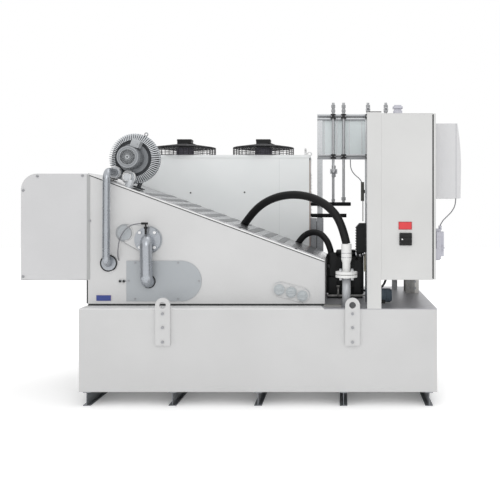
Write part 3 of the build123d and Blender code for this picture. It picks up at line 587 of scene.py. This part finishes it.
# ---- chiller ------------------------------------------------------------------------------
# A box of pale grey coated panels with a shallow lid, two axial fans under black
# wire guards, louvred intakes at the back and sides, and lifting eyes.
# The same kind of coat as the tank's, nearly white; the guards are steel wire
# dipped in black plastic, which leaves it round-edged and softly glossy.
chiller_paint = powder_coat("light grey powder coat, chiller", "e8eaea", "e2e5e5")
copper = moulded("copper and aluminium coil", "b98a6a", "9a9a98", 0.4, 0.8, 0.01)
coated_wire = moulded("black coated wire", "262629", "18181b", 0.45)
fan_motor_enamel = moulded("purple grey motor enamel", "6b6873", "565460", 0.4, 0.2)
wear(chiller_paint, "chiller_panels", "chiller_top")
wear(copper, "cooling_circuit")
wear(black_plastic, "fan_motors", "fan_rotor_left", "fan_rotor_right")

fan_centres = ((-0.793, 0.5), (-0.093, 0.5))
guard_radius, guard_spokes, guard_top = 0.2685, 40, 1.962
guards = bmesh.new()
for across, back in fan_centres:
    for height in (1.886, 1.961):
        add_ring(guards, (across, back, height), (0, 0, 1), guard_radius, 0.003)
    for height in (1.901, 1.916, 1.931, 1.946):
        add_ring(guards, (across, back, height), (0, 0, 1), guard_radius, 0.0020)
    for step in range(9):
        reach = 0.250 - 0.022 * step
        add_ring(guards, (across, back, 1.965 + 0.0034 * step), (0, 0, 1), reach, 0.0026)
    for spoke in range(guard_spokes):
        out = around(spoke, guard_spokes)
        foot = Vector((across, back, 0)) + out * guard_radius
        add_rod(guards, (foot.x, foot.y, 1.8835), (foot.x, foot.y, guard_top), 0.0024, sides=6)
        add_rod(guards, (foot.x, foot.y, guard_top), Vector((across, back, 1.994)) + out * 0.06,
                0.0028, sides=6)
    add_rod(guards, (across, back, 1.968), (across, back, 1.996), 0.090, 0.070, 24)
make("fan_guards_of_wire", guards, coated_wire, stands_for=["fan_guards"])

hub_ribs = 28
hubs = bmesh.new()
for across, back in fan_centres:
    add_rod(hubs, (across, back, 1.873), (across, back, 1.960), 0.072, sides=48)
    for rib in range(hub_ribs):
        foot = Vector((across, back, 0)) + around(rib, hub_ribs) * 0.074
        add_rod(hubs, (foot.x, foot.y, 1.885), (foot.x, foot.y, 1.958), 0.004, sides=6)
make("fan_motor_housings", hubs, fan_motor_enamel)

terminal_lids = bmesh.new()
for across, back in fan_centres:
    add_box(terminal_lids, (across - 0.064, back - 0.047, 2.018),
            (across + 0.064, back + 0.047, 2.0365), 0.003)
    add_rod(terminal_lids, (across + 0.045, back - 0.05, 2.004),
            (across + 0.098, back - 0.02, 1.985), 0.008)
make("fan_terminal_lids", terminal_lids, black_plastic)

eyes = bmesh.new()
for across, back, way in ((0.292, 0.300, (1, 0.3, 0)), (0.308, 0.700, (0, 1, 0)),
                          (-1.171, 0.300, (1, 0, 0)), (-1.171, 0.700, (0, 1, 0))):
    add_rod(eyes, (across, back, 1.883), (across, back, 1.908), 0.010)
    add_ring(eyes, (across, back, 1.924), way, 0.018, 0.006, 32)
make("chiller_lifting_eyes", eyes, white_zinc)

marks = bmesh.new()
for across, up in ((-0.696, 1.557), (-0.232, 1.562), (0.170, 1.565)):
    add_rod(marks, (across, 0.2645, up), (across, 0.262, up), 0.007)
add_box(marks, (0.3255, 0.2645, 1.838), (0.3335, 0.2990, 1.857), 0)
make("chiller_plugs", marks, dark_alloy)
panel_joint = bmesh.new()
add_box(panel_joint, (0.066, 0.2643, 0.745), (0.0675, 0.2648, 1.853), 0)
shaded_coat = powder_coat("shaded panel joint", "c2c6c6", "bcc0c0")
make("chiller_panel_joint", panel_joint, shaded_coat)
corner_post = bmesh.new()
add_box(corner_post, (0.3253, 0.2655, 0.745), (0.3360, 0.2850, 1.836), 0.0005)
post_brown = moulded("red brown edge seal", "a3948f", "95857f", 0.6)
make("chiller_edge_seal", corner_post, post_brown)

louvre_step = 0.0315
louvres = bmesh.new()
for left in (-1.12, -0.36):
    add_box(louvres, (left, 0.7352, 1.02), (left + 0.60, 0.7385, 1.80), 0)
    for slat in range(24):
        low = 1.035 + slat * louvre_step
        add_box(louvres, (left + 0.02, 0.7385, low), (left + 0.58, 0.7500, low + 0.012), 0.002)
make("chiller_rear_louvres", louvres, chiller_paint)
side_louvres = bmesh.new()
for slat in range(22):
    low = 1.06 + slat * louvre_step
    add_box(side_louvres, (-1.216, 0.33, low), (-1.2045, 0.67, low + 0.012), 0.002)
    add_box(side_louvres, (0.3255, 0.33, low), (0.334, 0.67, low + 0.012), 0.002)
make("chiller_side_louvres", side_louvres, chiller_paint)


# ---- control cabinet -----------------------------------------------------------------------
# A wall cabinet in fine textured coat on two square columns, its doors to the
# right on black gaskets, standing at the back on galvanised legs.
# Its coat has a finer peel and less gloss than the tank's.
cabinet_paint = powder_coat("light grey textured coat, cabinet", "c4c4c3", "bfbfbe", 0.5, 0.004)
leg_zinc = galvanised_steel("galvanised leg steel", "8b8a88", "a6a5a2")
wear(cabinet_paint, "cabinet_columns", "cabinet_body", "near_door", "far_door")
wear(black_plastic, "near_handle", "main_switch_base", "switch_knob")
wear(leg_zinc, "cabinet_legs", "mounting_plate")

gap_left, gap_right = 1.2625, 1.2655
gasket_front, gasket_back, gasket_width = -0.745, 0.445, 0.015
gaskets = bmesh.new()
add_box(gaskets, (1.2560, -0.7512, 0.917), (1.2632, -0.7502, 2.098), 0)
for low in (0.915, 2.086):
    add_box(gaskets, (gap_left, gasket_front, low), (gap_right, gasket_back, low + gasket_width), 0)
for front in (gasket_front, gasket_back - gasket_width):
    add_box(gaskets, (gap_left, front, 0.9305), (gap_right, front + gasket_width, 2.0855), 0)
make("door_gaskets", gaskets, black_rubber)

caps = bmesh.new()
for front, left in ((-0.750, 0.787), (0.350, 0.832)):
    add_box(caps, (left - 0.0005, front - 0.0005, 2.1165), (0.889, front + 0.1005, 2.1208), 0)
make("column_caps", caps, black_plastic)

label_left, label_right, label_low, label_high = 1.012, 1.108, 1.2700, 1.3260
label_front, label_back, border = -0.7540, -0.7531, 0.0045
label_edge = bmesh.new()
for low in (label_low, label_high - border):
    add_box(label_edge, (label_left, label_front, low), (label_right, label_back, low + border), 0)
for left in (label_left, label_right - border):
    add_box(label_edge, (left, label_front, label_low + border + 0.0003),
            (left + border, label_back, label_high - border - 0.0003), 0)
red_plate = moulded("red enamelled plate", "d0393d", "c63237", 0.45)
dark_red = moulded("dark red enamel border", "a82d33", "9c282e", 0.4)
blue_plate = moulded("blue enamelled plate", "34468c", "2b3b7c", 0.4)
wear(red_plate, "label_plates")
make("warning_plate_border", label_edge, dark_red)
blue_label = bmesh.new()
add_box(blue_label, (-1.2185, -0.5885, 0.7365), (-1.1105, -0.5872, 0.7775), 0)
make("maker_plate_face", blue_label, blue_plate)

knob_dot = bmesh.new()
add_rod(knob_dot, (1.036, -0.7845, 1.201), (1.036, -0.7851, 1.201), 0.005)
make("switch_knob_pointer", knob_dot, white_zinc, body="switch_knob")

unit_plastic = moulded("moulded pale grey plastic", "c8c8c9", "c2c2c4", 0.5)
seam_grey = moulded("shaded plastic seam", "a3a3a8", "97979c", 0.5)
wear(unit_plastic, "cooling_unit")
unit_details = bmesh.new()
for left, right in ((1.4505, 1.4535), (1.2835, 1.2855)):
    add_box(unit_details, (left, -0.5912, 1.4975), (right, -0.5902, 2.052), 0)
for slat in range(14):
    low = 1.53 + slat * 0.017
    add_box(unit_details, (1.4855, -0.545, low), (1.4882, -0.355, low + 0.007), 0)
make("cooling_unit_seams", unit_details, seam_grey, body="near_door")

connector_enamel = moulded("lavender grey hood enamel", "babac2", "afafb8", 0.42, 0.1)
plug = bmesh.new()
add_box(plug, (1.2815, -0.622, 1.046), (1.360, -0.503, 1.272), 0.022)
add_box(plug, (1.2815, -0.6245, 1.040), (1.336, -0.5005, 1.130), 0.008)
add_box(plug, (1.3300, -0.6240, 1.118), (1.365, -0.501, 1.142), 0.008)
add_rod(plug, (1.337, -0.562, 1.262), (1.337, -0.562, 1.294), 0.012)
make("door_connector_hood", plug, connector_enamel, body="near_door",
     stands_for=["junction_box"])

roof_plug = bmesh.new()
add_box(roof_plug, (0.985, -0.625, 2.1085), (1.050, -0.575, 2.150), 0.006)
add_box(roof_plug, (0.981, -0.628, 2.150), (1.054, -0.572, 2.186), 0.010)
make("roof_connector_hood", roof_plug, connector_enamel)

bolt_length = 0.009
leg_bolts = bmesh.new()
for front in (0.200, 0.380):
    for up in (0.745, 0.800, 0.860):
        for across, face in ((1.228, front), (1.172, front + 0.010)):
            add_rod(leg_bolts, (across, face, up), (across, face - bolt_length, up), 0.010, sides=6)
make("leg_bolts", leg_bolts, bolt_zinc)
leg_faces = bmesh.new()
add_box(leg_faces, (1.2260, 0.1992, 0.7010), (1.2605, 0.1999, 0.9070), 0)
pale_zinc = galvanised_steel("bright galvanised leg face", "c0beba", "d2d0cc")
make("leg_front_face", leg_faces, pale_zinc)


# ---- rear frame, risers and chilled pipes --------------------------------------------------
# Slotted galvanised strut with a blue-grey sheet between its rails; four zinc
# steel risers in black clamps, and two runs of black foam insulation.
# Fresh zinc is pale and spangled; a darker, plainer zinc covers the lower posts'
# faces and, as painted shadow, lines the rails' slots. The foam is matt and takes
# almost no light.
strut_zinc = galvanised_steel("galvanised strut", "b2b4b6", "c8cacc")
riser_zinc = galvanised_steel("zinc-plated riser pipe", "a2a3a5", "bcbdbf", 0.006)
panel_paint = powder_coat("blue grey enamel", "d3dadb", "cbd3d4", 0.4)
foam = moulded("black foam insulation", "17181a", "101112", 0.8, shine=0.2)
wear(strut_zinc, "strut_frame")
wear(riser_zinc, "riser_pipes")
wear(panel_paint, "frame_panel")
wear(black_plastic, "pipe_clamps")
wear(foam, "insulated_pipes")

panel_ribs = bmesh.new()
for across in (0.448, 0.560, 0.672, 0.784):
    add_box(panel_ribs, (across - 0.004, 0.5040, 1.909), (across + 0.004, 0.5078, 2.217), 0.0015)
make("panel_stiffeners", panel_ribs, strut_zinc)

post_faces = bmesh.new()
for left in (0.330, 0.389):
    add_box(post_faces, (left + 0.0005, 0.2890, 0.701), (left + 0.0565, 0.2899, 1.3395), 0)
darker_strut_zinc = galvanised_steel("darker strut zinc", "7f8184", "949699")
make("lower_post_faces", post_faces, darker_strut_zinc)
post_joint = bmesh.new()
add_box(post_joint, (0.3855, 0.2880, 1.080), (0.3905, 0.2889, 1.312), 0)
make("lower_post_joint", post_joint, dark_alloy)

# Dark lines along the rails' slots are painted shadow, in the darker zinc.
rail_shadow_lines = bmesh.new()
for low, high in ((2.2435, 2.2525), (2.2085, 2.2215), (1.8630, 1.8740)):
    add_box(rail_shadow_lines, (0.3865, 0.4946, low), (0.8110, 0.4958, high), 0)
make("rail_slot_shadows", rail_shadow_lines, darker_strut_zinc)

risers, riser_back = (0.529, 0.621, 0.838, 0.996), 0.474
unions = bmesh.new()
for across in risers:
    for low, high, wide in ((2.278, 2.300, 0.021), (2.318, 2.342, 0.021), (2.306, 2.312, 0.017)):
        add_rod(unions, (across, riser_back, low), (across, riser_back, high), wide, sides=6)
for across in risers[2:]:
    add_ring(unions, (across, 0.455, 2.300), (0, 1, 0), 0.015, 0.006, 32)
add_rod(unions, (risers[1], riser_back, 1.494), (risers[1], riser_back, 1.522), 0.022, sides=6)
add_rod(unions, (risers[0], riser_back, 1.484), (risers[0], riser_back, 1.505), 0.018, sides=6)
make("riser_union_nuts", unions, riser_zinc)

valve_x, valve_z = 0.533, 1.752
valve = bmesh.new()
bmesh.ops.create_uvsphere(valve, u_segments=32, v_segments=20, radius=0.030,
                          matrix=Matrix.Translation((valve_x, riser_back, valve_z)))
for face in valve.faces:
    face.smooth = True
for low in (1.702, 1.784):
    add_rod(valve, (valve_x, riser_back, low), (valve_x, riser_back, low + 0.020), 0.021, sides=6)
add_rod(valve, (valve_x, 0.444, valve_z), (valve_x, 0.428, valve_z), 0.009)
add_box(valve, (0.526, 0.423, 1.740), (0.540, 0.428, 1.830), 0.002)
make("riser_ball_valve", valve, riser_zinc)

clamp_bolts = bmesh.new()
for low in (1.861, 2.219):
    for across in risers:
        for side in (-0.017, 0.017):
            add_rod(clamp_bolts, (across + side, 0.454, low + 0.023),
                    (across + side, 0.448, low + 0.023), 0.005, sides=6)
make("clamp_bolts", clamp_bolts, bolt_zinc)


# ---- transfer pump and its pipework ----------------------------------------------------------
# A black enamelled immersion pump with its frequency inverter, a second motor
# under the cabinet, a white flanged pipe on a pale grey lower length, and bright
# chromed cable glands and hose clips.
# Smooth black enamel with weak reflections beside hard, mirror-bright chrome.
black_enamel = moulded("black pump enamel", "161819", "0f1012", 0.42, shine=0.35)
white_enamel = moulded("white pipe enamel", "dededd", "d5d5d4", 0.4)
grey_pipe = moulded("pale grey pipe enamel", "b9bbbe", "aeb0b4", 0.4, 0.2)
chrome = moulded("chromed steel", "c8c8cb", "b4b4b8", 0.16, 1.0)
yellow_strip = moulded("yellow rating plate", "a9a184", "9c9478", 0.5)
wear(black_enamel, "transfer_pump", "inverter_box")
wear(moulded("olive grey connector", "4c4c47", "40403b", 0.5), "inline_connector")
wear(white_enamel, "flanged_pipe")

pump_axis, pump_ribs = (0.639, -0.020), 36
pump_fins = bmesh.new()
for rib in range(pump_ribs):
    foot = Vector((*pump_axis, 0)) + around(rib, pump_ribs) * 0.082
    add_box(pump_fins, (foot.x - 0.003, foot.y - 0.003, 0.78),
            (foot.x + 0.003, foot.y + 0.003, 1.03), 0.001)
add_rod(pump_fins, (*pump_axis, 1.045), (*pump_axis, 1.084), 0.088, 0.078, 48)
add_box(pump_fins, (0.505, -0.055, 0.865), (0.562, 0.055, 1.060), 0.008)
add_box(pump_fins, (0.470, 0.080, 0.716), (0.600, 0.200, 1.040), 0.006)
add_box(pump_fins, (0.700, -0.010, 0.716), (0.785, 0.100, 1.062), 0.006)
make("pump_fins_and_covers", pump_fins, black_enamel)

inverter_fins = bmesh.new()
for rib in range(9):
    low = 1.085 + rib * 0.022
    add_box(inverter_fins, (0.7165, -0.09, low), (0.722, 0.03, low + 0.008), 0.001)
add_box(inverter_fins, (0.728, -0.1055, 1.09), (0.797, -0.1005, 1.26), 0.002)
make("inverter_fins", inverter_fins, black_enamel)

plate = bmesh.new()
add_box(plate, (0.7862, -0.030, 0.905), (0.800, -0.024, 1.050), 0.001)
make("pump_rating_plate", plate, yellow_strip)

stub_axis, pipe_axis = (0.524, 0), (0.638, -0.600)
connectors = bmesh.new()
for across, up in ((0.722, 1.052), (0.752, 1.045), (0.778, 1.056)):
    add_rod(connectors, (across, -0.078, up - 0.020), (across, -0.078, up + 0.014), 0.011)
add_rod(connectors, (*stub_axis, 0.932), (*stub_axis, 0.964), 0.0335, sides=48)
for up in (0.936, 0.948, 0.960):
    add_ring(connectors, (*stub_axis, up), (0, 0, 1), 0.0335, 0.003)
for up in (1.060, 1.092):
    add_ring(connectors, (*pipe_axis, up), (0, 0, 1), 0.0382, 0.0022)
make("pump_connectors_and_clips", connectors, chrome)

flange_bolt_circle = 0.060
flange = bmesh.new()
add_rod(flange, (*pipe_axis, 0.7005), (*pipe_axis, 0.904), 0.0306, sides=48)
for quarter in range(4):
    angle = radians(45 + 90 * quarter)
    spot = (pipe_axis[0] + flange_bolt_circle * cos(angle),
            pipe_axis[1] + flange_bolt_circle * sin(angle))
    add_rod(flange, (*spot, 0.895), (*spot, 0.913), 0.010, sides=6)
    add_rod(flange, (*spot, 0.955), (*spot, 0.972), 0.010, sides=6)
make("lower_pipe_and_flange_bolts", flange, grey_pipe)
joint = bmesh.new()
add_rod(joint, (*pipe_axis, 0.9305), (*pipe_axis, 0.9375), 0.0790, sides=64)
make("flange_gasket", joint, black_rubber)

motor_axis = (-0.420, 0.758)
motor_trim = bmesh.new()
add_rod(motor_trim, (0.786, *motor_axis), (0.9752, *motor_axis), 0.0524, sides=48)
for step in range(11):
    add_ring(motor_trim, (0.795 + step * 0.0155, *motor_axis), (1, 0, 0), 0.0525, 0.0025)
add_rod(motor_trim, (0.9755, *motor_axis), (0.985, *motor_axis), 0.045)
motor_grey = moulded("blue grey motor enamel", "626d78", "535e69", 0.4, 0.2)
make("deck_motor_ribs", motor_trim, motor_grey)

deck_parts = bmesh.new()
add_box(deck_parts, (0.470, -0.640, 0.7005), (0.600, -0.560, 0.708), 0.001)
add_box(deck_parts, (0.490, -0.150, 0.7165), (0.790, -0.132, 0.730), 0.002)
add_rod(deck_parts, (0.575, -0.150, 0.7165), (0.575, -0.150, 0.790), 0.008)
add_rod(deck_parts, (0.575, -0.150, 0.790), (0.575, -0.150, 0.805), 0.014)
for across in (0.505, 0.755):
    for back in (-0.115, 0.095):
        add_rod(deck_parts, (across, back, 0.716), (across, back, 0.724), 0.009, sides=6)
make("deck_brackets_and_bolts", deck_parts, leg_zinc)


# ---- hoses and cables -------------------------------------------------------
# One thick rubber transfer hose and four thin sheathed cables, each a fixed
# length of flexible line that hangs between its two fittings. A route is given
# point by point along the line's centre, in metres.
def line(name, points, diameter, material, body, node):
    """A free line along its given route, standing for its CAD tube."""
    curve = bpy.data.curves.new(name, "CURVE")
    curve.dimensions = "3D"
    curve.bevel_depth, curve.bevel_resolution, curve.use_fill_caps = diameter / 2, 6, True
    spline = curve.splines.new("NURBS")
    spline.points.add(len(points) - 1)
    for knot, point in zip(spline.points, points):
        knot.co = (*point, 1)
    spline.order_u = 3
    spline.use_endpoint_u = True
    spline.resolution_u = 16
    piece = bpy.data.objects.new(name, curve)
    bpy.context.collection.objects.link(piece)
    curve.materials.append(material)
    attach(piece, body)
    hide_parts(node)


hose_route = [
    (0.638, -0.600, 1.160), (0.604, -0.594, 1.313), (0.513, -0.553, 1.434),
    (0.390, -0.487, 1.505), (0.256, -0.409, 1.531), (0.121, -0.326, 1.520),
    (-0.004, -0.243, 1.473), (-0.109, -0.158, 1.392), (-0.176, -0.092, 1.308)]
hose_rubber = moulded("smooth black hose rubber", "121213", "0c0c0d", 0.55, shine=0.25)
wear(hose_rubber, "return_pipe", "hose_fittings")
sheath = moulded("grey cable sheath", "77777b", "68686c", 0.5)
dark_sheath = moulded("black cable sheath", "202124", "18191b", 0.45)
line("transfer_hose", hose_route, 0.062, hose_rubber, "machine", "large_hose")

sensor_route = [
    (-0.867, -0.640, 1.3115), (-0.912, -0.640, 1.309), (-0.955, -0.638, 1.294),
    (-0.992, -0.634, 1.266), (-1.019, -0.630, 1.231), (-1.036, -0.626, 1.190),
    (-1.045, -0.622, 1.146), (-1.050, -0.618, 1.102), (-1.052, -0.610, 1.066),
    (-1.052, -0.592, 1.044), (-1.052, -0.581, 1.036)]
line("vacuum_sensor_cable", sensor_route, 0.008, sheath, "machine", "sensor_cable")

cooler_route = [
    (1.454, -0.560, 1.497), (1.453, -0.560, 1.462), (1.441, -0.560, 1.424),
    (1.416, -0.561, 1.388), (1.383, -0.562, 1.357), (1.353, -0.562, 1.327),
    (1.337, -0.562, 1.294)]
line("cooler_supply_cable", cooler_route, 0.008, sheath, "near_door", "cooler_cable")

level_route = [
    (0.682, 0.512, 1.861), (0.682, 0.512, 1.818), (0.687, 0.512, 1.779), (0.704, 0.511, 1.744),
    (0.731, 0.511, 1.716), (0.760, 0.510, 1.692), (0.782, 0.510, 1.665), (0.790, 0.510, 1.634)]
line("level_switch_cable", level_route, 0.008, sheath, "machine", "level_cable")

power_route = [
    (0.960, -0.180, 0.908), (0.960, -0.180, 0.862), (0.938, -0.168, 0.806),
    (0.892, -0.150, 0.764), (0.838, -0.118, 0.748), (0.796, -0.084, 0.752),
    (0.760, -0.050, 0.764)]
line("pump_power_cable", power_route, 0.018, dark_sheath, "machine", "power_cable")
